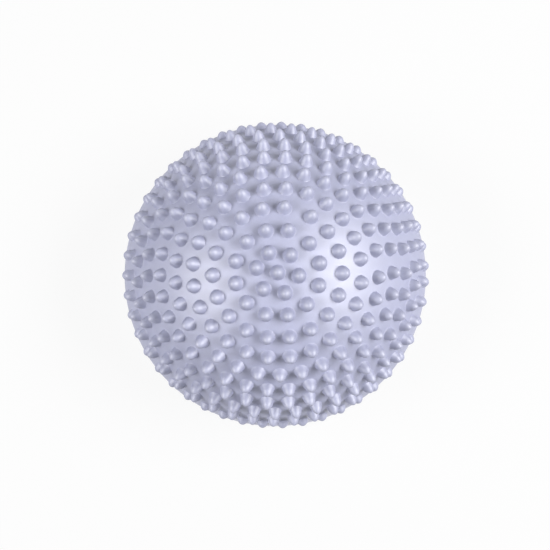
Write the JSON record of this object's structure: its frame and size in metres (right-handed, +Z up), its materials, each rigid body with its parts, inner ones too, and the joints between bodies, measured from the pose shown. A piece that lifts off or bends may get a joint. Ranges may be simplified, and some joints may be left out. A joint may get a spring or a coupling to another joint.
{
  "type": "spiky massage half ball",
  "caption": "Hollow soft dome covered with rows of blunt spikes, on a flat base, with a pull-out stopper in the air valve under it.",
  "frame": {"origin": "middle of the flat base, in the plane it stands on", "axes": "+Z up through the dome's pole, +X to the picture's right and +Y to the picture's top"},
  "size_m": [0.1598, 0.1598, 0.0852],
  "materials": {
    "pearl_pvc": "satin pearl lilac",
    "grommet": "matte pale grey",
    "stopper": "satin near white"
  },
  "bodies": {
    "pod": {"dome_shell": "pearl_pvc", "valve_socket": "grommet"},
    "stopper": {"valve_plug": "stopper"}
  },
  "joints": [
    {"name": "stopper_slide", "type": "slide", "parent": "pod", "child": "stopper", "axis": [0, 0, -1], "range_m": [0, 0.014]}
  ]
}
